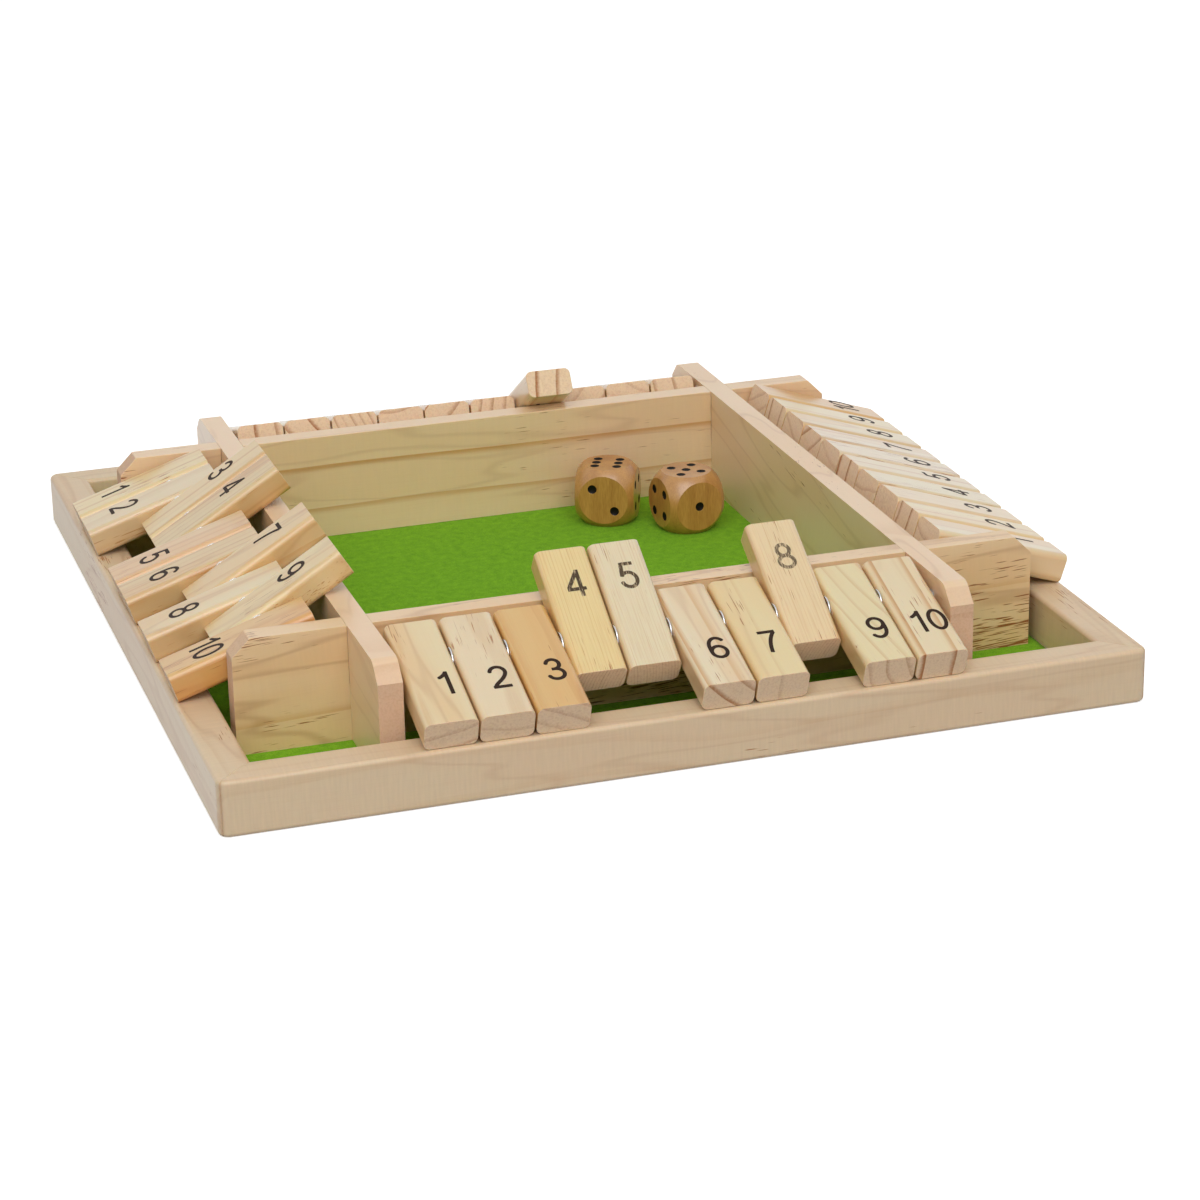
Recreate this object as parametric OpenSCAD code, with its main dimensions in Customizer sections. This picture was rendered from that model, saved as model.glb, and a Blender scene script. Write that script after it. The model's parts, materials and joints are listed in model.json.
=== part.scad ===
// Four-player shut the box game in pine.
//
// A shallow mitred tray holds a plywood base and a sheet of green felt. Four partition walls are
// crossed over each other with halving joints, like an egg crate, and leave a square well for the
// dice in the middle. On each side a steel rod runs between the walls' tails and carries ten
// numbered tiles with a washer between each pair. A tile lies with its long end on the rail while
// it is in play, and is flipped over the rod onto the wall when it is shut.
//
// Millimetres. +Z up, the origin at the middle of the underside, the front row at -Y.
// Each row is numbered from its own player's left.

/* [Tray] */
// Outside width and depth of the tray
tray_w = 304; // [270:1:340]
// Height of the rails
rail_h = 18.5; // [17:0.5:20]
// Width of a rail, seen from above
rail_w = 13; // [10:0.5:15]
// Rounding of the tray's upright corners
rail_corner_r = 3.5; // [2:0.5:6]
// Rounding along the long edges of the rails
rail_edge_r = 1.5; // [0.6:0.1:1.8]

/* [Base and felt] */
// Thickness of the plywood base
base_t = 2; // [1.5:0.1:4]
// Width of the rebate under the rails that takes the base
rebate_w = 5; // [3:0.5:7]
// Gap round the edge of the base
base_fit = 0.2; // [0.1:0.1:0.5]
// Thickness of the felt
felt_t = 0.5; // [0.3:0.1:1]
// Gap round the edge of the felt
felt_fit = 0.2; // [0.1:0.1:0.5]

/* [Partition walls] */
// Distance from the tray's outside face to a wall's inner face
wall_inset = 62; // [62:0.5:65]
// Thickness of a wall
wall_t = 8; // [7:0.5:10]
// Height of the walls' top edges above the table
wall_top = 41.2; // [39:0.2:43]
// Gap between a wall's end and the rail
wall_end_gap = 4; // [2:0.5:6]
// Bevel across the top corner of each wall end
wall_bevel = 6; // [4:0.5:7]
// Rounding where the top edge of a left or right wall turns down into its bevel
side_wall_nose_r = 5; // [0.5:0.5:6]
// Rounding where the top edge of a front or back wall turns down into its bevel
cross_wall_nose_r = 1; // [0.5:0.5:6]
// Gap on each side of a halving joint
halving_fit = 0.05; // [0.02:0.01:0.2]

/* [Number tiles] */
// Number of tiles in a row, which share out the room between two walls
tile_count = 10; // [8:1:12]
// Thickness of a tile
tile_t = 10; // [8:0.5:11]
// Length of a tile from the rod to its numbered end
tile_long = 34; // [32:0.5:34.5]
// Length of a tile from the rod to its short end
tile_short = 15.2; // [11:0.2:16]
// Rounding along a tile's four long edges
tile_edge_r = 2.25; // [1.5:0.25:3]
// Gap under a tile that rests on the rail or leans on a wall
tile_rest_gap = 0.1; // [0.05:0.05:0.3]
// Gap between the end tiles and the walls
row_end_gap = 1.5; // [1.4:0.1:3]

/* [Rods and washers] */
// Diameter of a rod
rod_d = 4; // [3:0.1:4.5]
// Height of the rods' axes above the table
rod_z = 33.8; // [33:0.2:34.6]
// Distance from a rod's axis to the tray's outside face
rod_inset = 32.4; // [31.4:0.2:34]
// Running clearance between a rod and a tile's bore, on the radius
rod_clearance = 0.08; // [0.03:0.01:0.1]
// Depth of the blind holes that hold the rods' ends
rod_socket = 6; // [3:0.5:6.5]
// Clearance between a rod and its blind holes, on the radius
rod_socket_fit = 0.02; // [0.01:0.01:0.1]
// Gap between a rod's end and the bottom of its blind hole
rod_end_gap = 0.5; // [0.2:0.1:1]
// Outside diameter of a washer
washer_d = 9; // [7:0.5:12]
// Clearance between a rod and a washer's hole, on the radius
washer_clearance = 0.15; // [0.05:0.05:0.4]
// Thickness of a washer
washer_t = 0.5; // [0.3:0.1:1]
// Gap on each side of a washer
washer_gap = 0.08; // [0.04:0.02:0.2]

/* [Dice] */
// Distances from the well's right and back walls to the middle of the left die
left_die_at = [47.5, 18.5];
// Turn of the left die on the felt
left_die_turn = -27; // [-45:1:45]
// Distances from the well's right and back walls to the middle of the right die
right_die_at = [23, 36.5];
// Turn of the right die on the felt
right_die_turn = 7; // [-45:1:45]
// Width of a die across two faces
die_w = 22; // [20:0.5:24]
// Radius of the ball that rounds off a die
die_ball_r = 14.3; // [13.5:0.1:15]
// Gap under a die
die_gap = 0.05; // [0.02:0.01:0.2]
// Diameter of a pip
pip_d = 3.4; // [2:0.1:4]
// Depth of a pip
pip_depth = 0.5; // [0.2:0.1:0.8]
// Distance between neighbouring pips on a face
pip_pitch = 4.1; // [3.4:0.1:4.4]

/* [Hidden] */
$fn = 48;
past = 1;                                  // how far a cut runs beyond the face it opens
pine = "#ead3a6";
pine_end = "#e3c9a8";
pale_pine = "#f0e2bd";
beech = "#c89a5c";

half_tray = tray_w / 2;
rail_inner = half_tray - rail_w;           // from the middle of the tray to a rail's inner face
felt_top = base_t + felt_t;

wall_in = half_tray - wall_inset;          // from the middle to a wall's inner face
wall_mid = wall_in + wall_t / 2;
wall_out = wall_in + wall_t;
wall_reach = rail_inner - wall_end_gap;    // from the middle to a wall's ends
wall_half_z = (felt_top + wall_top) / 2;   // where the halving joints meet
halving_w = wall_t + 2 * halving_fit;
bevel_angle = 45;

tile_gap = washer_t + 2 * washer_gap;
tile_pitch = (2 * (wall_in - row_end_gap) + tile_gap) / tile_count;
tile_w = tile_pitch - tile_gap;

rod_out = half_tray - rod_inset;           // from the middle to a rod's axis
rod_r = rod_d / 2;
rod_l = 2 * (wall_in + rod_socket - rod_end_gap);

// A tile in play: the lower corner of its long end rests on the rail.
tile_corner_r = norm([tile_long, tile_t / 2]);
play_tilt = asin((rod_z - rail_h - tile_rest_gap) / tile_corner_r) - atan(tile_t / 2 / tile_long);
// A shut tile: its lower face leans on the outer top edge of the wall.
lean_run = rod_out - wall_out;
lean_rise = wall_top - rod_z;
shut_tilt = atan(lean_rise / lean_run)
          + asin((tile_t / 2 + tile_rest_gap) / norm([lean_run, lean_rise]));
tile_travel = 180 - shut_tilt + play_tilt;
echo(play_tilt = play_tilt, shut_tilt = shut_tilt, tile_travel = tile_travel);

// Each side of the game: its name and its turn from the front.
SIDES = [["front", 0], ["right", 90], ["back", 180], ["left", 270]];

// The tiles that are shut.
SHUT = [
    "tile_front_4", "tile_front_5", "tile_front_8",
    "tile_back_4",
    "tile_left_3", "tile_left_4", "tile_left_7", "tile_left_9",
];

// Each die: its name, its place, its turn, and the numbers on its top, front and right.
DICE = [
    ["left", left_die_at, left_die_turn, [6, 2, 4]],
    ["right", right_die_at, right_die_turn, [5, 1, 3]],
];

function tile_name(side, number) = str("tile_", side[0], "_", number);

// ---- Helpers ----

// A rectangle in the middle of the plane with its corners rounded.
module rounded_rect(size, r) {
    square([size[0] - 2 * r, size[1]], center = true);
    square([size[0], size[1] - 2 * r], center = true);
    for (x = [-1, 1]) for (y = [-1, 1])
        translate([x * (size[0] / 2 - r), y * (size[1] / 2 - r)]) circle(r);
}

// A flat square sheet with its underside at height z.
module sheet(half, thickness, z) {
    translate([-half, -half, z]) cube([2 * half, 2 * half, thickness]);
}

// ---- Tray ----

// Section of a rail: x is 0 at its outside face, and the base's rebate is under its inner edge.
module rail_section() {
    difference() {
        translate([-rail_w / 2, rail_h / 2]) rounded_rect([rail_w, rail_h], rail_edge_r);
        translate([-rail_w - past, -past]) square([rebate_w + past, base_t + past]);
    }
}

// The front rail. Its ends are mitred, and the outside strip turns round the tray's corners.
module front_rail() {
    turn = half_tray - rail_corner_r;
    intersection() {
        translate([-turn, -half_tray, 0])
            rotate([90, 0, 90]) linear_extrude(2 * turn) mirror([1, 0]) rail_section();
        linear_extrude(rail_h)
            polygon([[-turn, -half_tray], [turn, -half_tray], [turn, -turn], [0, 0], [-turn, -turn]]);
    }
    for (side = [0, 1]) mirror([side, 0, 0])
        translate([turn, -turn, 0]) rotate([0, 0, -90]) rotate_extrude(angle = 45) intersection() {
            translate([rail_corner_r, 0]) rail_section();
            square([rail_corner_r, rail_h]);
        }
}

module rail(side) {
    color(pine) rotate([0, 0, side[1]]) front_rail();
}

module base_panel() {
    color("burlywood") sheet(rail_inner + rebate_w - base_fit, base_t, 0);
}

module green_felt() {
    color("#6aa52b") sheet(rail_inner - felt_fit, felt_t, base_t);
}

// ---- Partition walls ----

// Outline of a wall. At each end its top edge turns down into the bevel with the given rounding.
module wall_outline(nose_r) {
    corner = wall_reach - wall_bevel;
    nose = nose_r * tan(bevel_angle / 2);  // from the corner to where the rounding starts
    end = [
        [wall_reach, felt_top], [wall_reach, wall_top - wall_bevel],
        [corner + nose * cos(bevel_angle), wall_top - nose * sin(bevel_angle)],
        [corner - nose, wall_top],
    ];
    polygon([for (p = end) p, for (i = [len(end) - 1 : -1 : 0]) [-end[i][0], end[i][1]]]);
    for (side = [-1, 1]) translate([side * (corner - nose), wall_top - nose_r]) circle(nose_r);
}

// The front wall before its halving joints are cut, with blind holes for the rods of the two
// neighbouring rows.
module front_wall_blank(nose_r) {
    difference() {
        translate([0, -wall_in, 0]) rotate([90, 0, 0]) linear_extrude(wall_t) wall_outline(nose_r);
        for (x = [-rod_out, rod_out])
            translate([x, -wall_in + past, rod_z])
                rotate([90, 0, 0]) cylinder(r = rod_r + rod_socket_fit, h = rod_socket + past);
    }
}

// The slots of a wall's two halving joints, from height z upward.
module halving_slots(z, h) {
    for (x = [-wall_mid, wall_mid])
        translate([x - halving_w / 2, -wall_out - past, z]) cube([halving_w, wall_t + 2 * past, h]);
}

// The left and right walls run through on top, and the front and back walls pass under them.
module partition(side) {
    runs_over = side[0] == "left" || side[0] == "right";
    color(pale_pine) rotate([0, 0, side[1]]) difference() {
        front_wall_blank(runs_over ? side_wall_nose_r : cross_wall_nose_r);
        if (runs_over) halving_slots(felt_top - past, wall_half_z - felt_top + past);
        else halving_slots(wall_half_z, wall_top - wall_half_z + past);
    }
}

// ---- Rods and washers ----

module rod(side) {
    color("silver") rotate([0, 0, side[1]])
        translate([0, -rod_out, rod_z]) rotate([0, 90, 0]) cylinder(r = rod_r, h = rod_l, center = true);
}

// A washer hangs on the rod, so it sits lower by its clearance.
module washers(side) {
    color("gainsboro") rotate([0, 0, side[1]])
        for (i = [1 : tile_count - 1])
            translate([(i - tile_count / 2) * tile_pitch, -rod_out, rod_z - washer_clearance])
                rotate([0, 90, 0]) difference() {
                    cylinder(d = washer_d, h = washer_t, center = true);
                    cylinder(r = rod_r + washer_clearance, h = washer_t + 2 * past, center = true);
                }
}

// ---- Number tiles ----

// A tile lying level, with its bore on the x axis and its long end towards -Y.
module level_tile() {
    difference() {
        translate([0, tile_short, 0]) rotate([90, 0, 0])
            linear_extrude(tile_short + tile_long) rounded_rect([tile_w, tile_t], tile_edge_r);
        rotate([0, 90, 0])
            cylinder(r = rod_r + rod_clearance, h = tile_w + 2 * past, center = true);
    }
}

module tile(side, number) {
    shut = len([for (name = SHUT) if (name == tile_name(side, number)) name]) > 0;
    color(number % 2 == 0 ? pine : pine_end) rotate([0, 0, side[1]])
        translate([(number - (tile_count + 1) / 2) * tile_pitch, -rod_out, rod_z])
            rotate([play_tilt - (shut ? tile_travel : 0), 0, 0]) level_tile();
}

// ---- Dice ----

// Centres of the pips for one number, in steps of the pip pitch.
function pips(number) = concat(
    number % 2 == 1 ? [[0, 0]] : [],
    number > 1 ? [[-1, 1], [1, -1]] : [],
    number > 3 ? [[1, 1], [-1, -1]] : [],
    number == 6 ? [[-1, 0], [1, 0]] : []
);

// Hollows for the pips of one number, on a face that looks along +Z at the given height.
module pip_hollows(number, face) {
    hollow_r = (pow(pip_d / 2, 2) + pow(pip_depth, 2)) / (2 * pip_depth);
    for (p = pips(number))
        translate([p[0] * pip_pitch, p[1] * pip_pitch, face + hollow_r - pip_depth])
            sphere(hollow_r);
}

module die(d) {
    h = die_w / 2;
    top = d[3][0];
    front = d[3][1];
    right = d[3][2];
    opposite = 7;                          // opposite faces add up to this
    color(beech) translate([wall_in - d[1][0], wall_in - d[1][1], felt_top + die_gap + h])
        rotate([0, 0, d[2]]) difference() {
            intersection() {
                cube(die_w, center = true);
                sphere(die_ball_r);
            }
            pip_hollows(top, h);
            rotate([180, 0, 0]) pip_hollows(opposite - top, h);
            rotate([90, 0, 0]) pip_hollows(front, h);
            rotate([-90, 0, 0]) pip_hollows(opposite - front, h);
            rotate([0, 90, 0]) pip_hollows(right, h);
            rotate([0, -90, 0]) pip_hollows(opposite - right, h);
        }
}

// ---- Nodes ----

base_panel();
green_felt();
for (s = SIDES) {
    rail(s);
    partition(s);
    rod(s);
    washers(s);
    for (number = [1 : tile_count])
        tile(s, number);
}
for (d = DICE)
    die(d);
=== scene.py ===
"""Four-player shut the box game: the finish of every surface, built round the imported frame.

The file is laid out as a Blender add-on. Each operator finishes or makes one group of pieces, and
main() calls them in order. Lengths are in metres, and in millimetres where a name ends in _mm.
"""

import json
import math
import random
from collections import namedtuple

import bmesh
import bpy
import numpy as np
from bpy.props import FloatProperty, FloatVectorProperty, PointerProperty
from mathutils import Matrix, Vector, noise


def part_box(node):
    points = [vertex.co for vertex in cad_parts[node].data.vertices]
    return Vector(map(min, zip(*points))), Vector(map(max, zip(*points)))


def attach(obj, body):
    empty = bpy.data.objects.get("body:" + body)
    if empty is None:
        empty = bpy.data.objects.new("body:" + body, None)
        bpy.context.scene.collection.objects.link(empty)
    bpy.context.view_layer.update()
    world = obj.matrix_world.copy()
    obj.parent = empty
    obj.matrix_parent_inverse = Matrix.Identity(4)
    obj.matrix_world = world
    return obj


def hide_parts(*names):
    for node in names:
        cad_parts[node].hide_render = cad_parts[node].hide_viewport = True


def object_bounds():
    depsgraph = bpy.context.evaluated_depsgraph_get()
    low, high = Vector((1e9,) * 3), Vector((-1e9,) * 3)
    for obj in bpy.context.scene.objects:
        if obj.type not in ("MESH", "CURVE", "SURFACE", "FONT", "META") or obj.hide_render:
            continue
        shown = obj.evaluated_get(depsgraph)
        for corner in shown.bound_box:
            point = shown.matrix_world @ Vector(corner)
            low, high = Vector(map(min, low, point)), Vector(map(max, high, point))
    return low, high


bl_info = {
    "name": "Shut the Box Game",
    "version": (1, 0, 0),
    "blender": (4, 5, 0),
    "location": "3D View > Sidebar > Shut the Box",
    "description": "Finishes the pieces of a four-player shut the box game",
    "category": "Object",
}

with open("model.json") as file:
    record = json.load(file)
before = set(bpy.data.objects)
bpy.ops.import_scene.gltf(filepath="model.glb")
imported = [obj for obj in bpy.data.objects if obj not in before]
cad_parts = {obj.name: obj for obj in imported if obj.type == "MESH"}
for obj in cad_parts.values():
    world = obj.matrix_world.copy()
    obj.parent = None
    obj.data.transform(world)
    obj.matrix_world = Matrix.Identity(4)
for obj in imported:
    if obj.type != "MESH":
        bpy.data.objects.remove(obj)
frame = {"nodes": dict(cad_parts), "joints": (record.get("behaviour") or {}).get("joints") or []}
cad_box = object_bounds()
NODES = frame["nodes"]
SIDES = ("front", "right", "back", "left")
DICE = ("left", "right")
FLIPS = {j["child"]: j for j in frame["joints"] if j["name"].startswith("flip_")}
FLOOR_Z = cad_box[0].z
FLOOR_RADIUS = 6
FLOOR_GAP_MM = 0.02
MM = 0.001


# ---- Colours and shader nodes ----

MATH = "ShaderNodeMath"
VECTOR_MATH = "ShaderNodeVectorMath"
MAP_RANGE = "ShaderNodeMapRange"
MIX = "ShaderNodeMix"
NOISE = "ShaderNodeTexNoise"
# Settings that many nodes share.
RGBA = {"data_type": "RGBA"}
SMOOTH = {"interpolation_type": "SMOOTHSTEP"}


def linear(hex_colour):
    """An sRGB hex colour as the linear colour that a shader reads."""
    channels = [int(hex_colour[i : i + 2], 16) / 255 for i in (1, 3, 5)]
    return [c / 12.92 if c <= 0.04045 else ((c + 0.055) / 1.055) ** 2.4 for c in channels]


def add(tree, kind, inputs=None, **settings):
    """Adds a node, or takes one that is there, and gives it its settings and inputs.

    An input is a value, a socket to link, or a node whose first output in use is linked.
    """
    made = tree.nodes.new(kind) if isinstance(kind, str) else kind
    for name, value in settings.items():
        setattr(made, name, value)
    for name, value in (inputs or {}).items():
        socket = made.inputs[name]
        if isinstance(name, str):
            socket = next(s for s in made.inputs if s.name == name and s.enabled)
        if isinstance(value, bpy.types.Node):
            value = next(s for s in value.outputs if s.enabled)
        if isinstance(value, bpy.types.NodeSocket):
            tree.links.new(value, socket)
        elif socket.type == "RGBA":
            socket.default_value = (*value[:3], 1)
        else:
            socket.default_value = value
    return made


def new_material(name):
    """A material with its node tree and its shader."""
    material = bpy.data.materials.new(name)
    material.use_nodes = True
    return material, material.node_tree, material.node_tree.nodes["Principled BSDF"]


def board_numbers(tree, *names):
    """What give_board keeps on a piece under those names, each as a socket of three numbers."""
    return [
        add(tree, "ShaderNodeAttribute", attribute_type="OBJECT", attribute_name=name).outputs["Vector"]
        for name in names
    ]


def in_board(tree):
    """A point's place in its own board, in millimetres: Y runs along the grain."""
    texture = add(tree, "ShaderNodeTexCoord")
    at, turn = board_numbers(tree, "grain_at", "grain_turn")
    return add(
        tree,
        "ShaderNodeMapping",
        {"Vector": texture.outputs["Object"], "Location": at, "Rotation": turn, "Scale": (MM, MM, MM)},
        vector_type="TEXTURE",
    )


def grain_noise(tree, place, across_mm, along_mm, detail=2.0, roughness=0.5):
    """Noise drawn out along the grain, with spots of that size across and along it."""
    size = (1 / across_mm, 1 / along_mm, 1 / across_mm)
    stretched = add(tree, VECTOR_MATH, {0: place, 1: size}, operation="MULTIPLY")
    inputs = {"Vector": stretched, "Scale": 1.0, "Detail": detail, "Roughness": roughness}
    return add(tree, NOISE, inputs)


# ---- Materials ----


def pine(name, wood):
    """Planed pine, cut from one tree's growth rings, so that a face's lines run on into its ends.

    The eye gets pale early wood with thin darker late wood, soft warm patches, short brown resin
    marks and a satin lacquer. Light sinks a little way in, which warms the rounded edges. Cut ends
    are duller, pinker and rough.
    """
    material, tree, shader = new_material(name)
    pith, rings, marks, tint, grain_axis, broad_axis = board_numbers(
        tree, "pith", "rings", "marks", "tint", "grain_axis", "broad_axis"
    )
    place = add(tree, VECTOR_MATH, {0: in_board(tree), 1: pith}, operation="SUBTRACT")
    rings = add(tree, "ShaderNodeSeparateXYZ", {0: rings})
    gap, depth, wander = rings.outputs
    marks = add(tree, "ShaderNodeSeparateXYZ", {0: marks})
    warmth, resin, fibres = marks.outputs

    # Growth rings: how many lie inside a point, and how far it is from the next one's dark edge.
    drift = grain_noise(tree, place, 30, 150).outputs["Color"]
    drift = add(tree, VECTOR_MATH, {0: drift, "Scale": wander}, operation="SCALE")
    bent = add(tree, VECTOR_MATH, {0: place, 1: drift}, operation="ADD")
    across = add(tree, VECTOR_MATH, {0: bent, 1: (1, 0, 1)}, operation="MULTIPLY")
    radius = add(tree, VECTOR_MATH, {0: across}, operation="LENGTH")
    turns = add(tree, MATH, {0: radius, 1: gap}, operation="DIVIDE")
    ring = add(tree, MATH, {0: turns}, operation="FLOOR")
    inner = add(tree, MATH, {0: turns}, operation="FRACT")
    outer = add(tree, MATH, {0: 1.0, 1: inner}, operation="SUBTRACT")
    to_edge = add(tree, MATH, {0: outer, 1: gap}, operation="MULTIPLY")
    widest = add(tree, MATH, {0: gap, 1: 0.45}, operation="MULTIPLY")
    width = add(tree, MATH, {0: widest, 1: wood.late_width / MM}, operation="MINIMUM")
    ahead = add(tree, MATH, {0: to_edge, 1: width}, operation="DIVIDE")
    darkening = add(
        tree, MAP_RANGE, {"Value": ahead, "From Min": 0.12, "To Min": 1.0, "To Max": 0.0}, **SMOOTH
    )
    winter = add(tree, MAP_RANGE, {"Value": ahead, "From Max": 0.1})
    late = add(tree, MATH, {0: darkening, 1: winter}, operation="MULTIPLY")
    vigour = add(tree, "ShaderNodeTexWhiteNoise", {"W": ring}, noise_dimensions="1D")
    vigour = add(tree, MAP_RANGE, {"Value": vigour, "To Min": 0.35, "To Max": 1.0})
    late = add(tree, MATH, {0: late, 1: vigour}, operation="MULTIPLY")
    late = add(tree, MATH, {0: late, 1: depth}, operation="MULTIPLY")

    # Fibres: real ones are 0.03 mm across, and these are drawn coarser so that they show.
    fibre = grain_noise(tree, place, 0.32, 18, detail=3.0, roughness=0.6)
    tone = add(tree, MATH, {0: fibre, 1: 0.5}, operation="SUBTRACT")
    tone = add(tree, MATH, {0: tone, 1: fibres, 2: late}, operation="MULTIPLY_ADD", use_clamp=True)
    long_grain = add(tree, MIX, {0: tone, "A": wood.early, "B": wood.late}, **RGBA)

    # Warm patches, and the narrow streaks where a patch begins.
    patch = grain_noise(tree, place, 14, 130, detail=1.5)
    warm = add(tree, MAP_RANGE, {"Value": patch, "From Min": 0.38, "From Max": 0.60}, **SMOOTH)
    warm = add(tree, MATH, {0: warm, 1: warmth}, operation="MULTIPLY", use_clamp=True)
    long_grain = add(tree, MIX, {0: warm, "A": long_grain, "B": wood.warm}, **RGBA)
    edge = add(tree, MATH, {0: patch, 1: 0.53}, operation="SUBTRACT")
    edge = add(tree, MATH, {0: edge}, operation="ABSOLUTE")
    streak = add(
        tree, MAP_RANGE, {"Value": edge, "From Max": 0.03, "To Min": 1.0, "To Max": 0.0}, **SMOOTH
    )
    streak = add(tree, MATH, {0: streak, 1: warmth}, operation="MULTIPLY")
    streak = add(tree, MATH, {0: streak, 1: 0.6}, operation="MULTIPLY")

    # Resin marks: short brown dashes along the grain, in groups, on some stretches of a board.
    dash = grain_noise(tree, place, 0.34, 8, detail=0.0)
    group = grain_noise(tree, place, 5, 22, detail=0.0)
    stretch = grain_noise(tree, place, 45, 70, detail=0.0)
    crowd = add(tree, MATH, {0: group, 1: 0.4, 2: dash}, operation="MULTIPLY_ADD")
    crowd = add(tree, MATH, {0: stretch, 1: 0.7, 2: crowd}, operation="MULTIPLY_ADD")
    crowd = add(tree, MATH, {0: resin, 1: 0.15, 2: crowd}, operation="MULTIPLY_ADD")
    dashes = add(tree, MAP_RANGE, {"Value": crowd, "From Min": 1.46, "From Max": 1.55}, **SMOOTH)
    brown = add(tree, MATH, {0: streak, 1: dashes}, operation="MAXIMUM", use_clamp=True)
    long_grain = add(tree, MIX, {0: brown, "A": long_grain, "B": wood.streak}, **RGBA)

    # Painted light: the narrow sides are painted warmer, standing in for warm light bounced between the
    # tiles.
    normal = add(tree, "ShaderNodeTexCoord").outputs["Normal"]
    broad = add(tree, VECTOR_MATH, {0: normal, 1: broad_axis}, operation="DOT_PRODUCT")
    broad = add(tree, MATH, {0: broad}, operation="ABSOLUTE")
    side = add(
        tree,
        MAP_RANGE,
        {"Value": broad, "From Min": 0.2, "From Max": 0.95, "To Min": wood.side_warmth, "To Max": 0.0},
    )
    long_grain = add(tree, MIX, {0: side, "A": long_grain, "B": wood.warm}, **RGBA)
    long_grain = add(tree, VECTOR_MATH, {0: long_grain, 1: tint}, operation="MULTIPLY")

    # Cut ends: the same rings, speckled with open pores.
    pores = add(tree, NOISE, {"Vector": place, "Scale": 1.3, "Detail": 3.0, "Roughness": 0.7})
    end_tone = add(
        tree,
        MAP_RANGE,
        {"Value": pores, "From Min": 0.35, "From Max": 0.7, "To Min": -0.08, "To Max": 0.24},
        clamp=False,
    )
    end_tone = add(tree, MATH, {0: late, 1: end_tone}, operation="ADD", use_clamp=True)
    end_grain = add(tree, MIX, {0: end_tone, "A": wood.end, "B": wood.end_late}, **RGBA)
    facing = add(tree, VECTOR_MATH, {0: normal, 1: grain_axis}, operation="DOT_PRODUCT")
    facing = add(tree, MATH, {0: facing}, operation="ABSOLUTE")
    is_end = add(tree, MAP_RANGE, {"Value": facing, "From Min": 0.45, "From Max": 0.75}, **SMOOTH)
    colour = add(tree, MIX, {0: is_end, "A": long_grain, "B": end_grain}, **RGBA)

    # Saw and planer marks run square to the grain.
    chatter = grain_noise(tree, place, 9, 0.8)
    low, high = 1 - wood.chatter, 1 + wood.chatter
    chatter_tone = add(
        tree,
        MAP_RANGE,
        {"Value": chatter, "From Min": 0.3, "From Max": 0.7, "To Min": low, "To Max": high},
        clamp=False,
    )
    colour = add(tree, VECTOR_MATH, {0: colour, "Scale": chatter_tone}, operation="SCALE")

    # Cut ends are rough and bare, and the faces are lacquered.
    rough = add(tree, MAP_RANGE, {"Value": is_end, "To Min": wood.roughness, "To Max": 0.8})
    coat = add(tree, MAP_RANGE, {"Value": is_end, "To Min": wood.lacquer, "To Max": 0.0})
    relief = add(tree, MATH, {0: late, 1: fibre}, operation="ADD")
    relief = add(tree, MATH, {0: chatter, 1: 6 * wood.chatter, 2: relief}, operation="MULTIPLY_ADD")
    pore_relief = add(tree, MATH, {0: pores, 1: 4.0}, operation="MULTIPLY")
    relief = add(tree, MIX, {0: is_end, "A": relief, "B": pore_relief})
    bump = add(tree, "ShaderNodeBump", {"Strength": 0.4, "Distance": 0.05 * MM, "Height": relief})
    add(tree, shader, {
        "Base Color": colour,
        "Roughness": rough,
        "Coat Weight": coat,
        "Coat Roughness": 0.28,
        "Subsurface Weight": wood.glow,
        "Subsurface Radius": (1.0, 0.4, 0.15),
        "Subsurface Scale": wood.glow_depth,
        "Normal": bump,
    })
    return material


def rotary_plywood(name, veneer):
    """Thin plywood with a rotary-cut face, which gives wide wavy figure, dull and unsealed."""
    material, tree, shader = new_material(name)
    place = in_board(tree)
    figure = grain_noise(tree, place, 38, 210, detail=3.0)
    bands = add(tree, MATH, {0: figure, 1: 60.0}, operation="MULTIPLY")
    bands = add(tree, MATH, {0: bands}, operation="SINE")
    fibre = grain_noise(tree, place, 0.5, 12, detail=3.0)
    tone = add(tree, MATH, {0: bands, 1: 0.22, 2: fibre}, operation="MULTIPLY_ADD", use_clamp=True)
    colour = add(tree, MIX, {0: tone, "A": veneer.pale, "B": veneer.dark}, **RGBA)
    bump = add(tree, "ShaderNodeBump", {"Strength": 0.6, "Distance": 0.08 * MM, "Height": fibre})
    add(tree, shader, {"Base Color": colour, "Roughness": 0.72, "IOR": 1.5, "Normal": bump})
    return material


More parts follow.
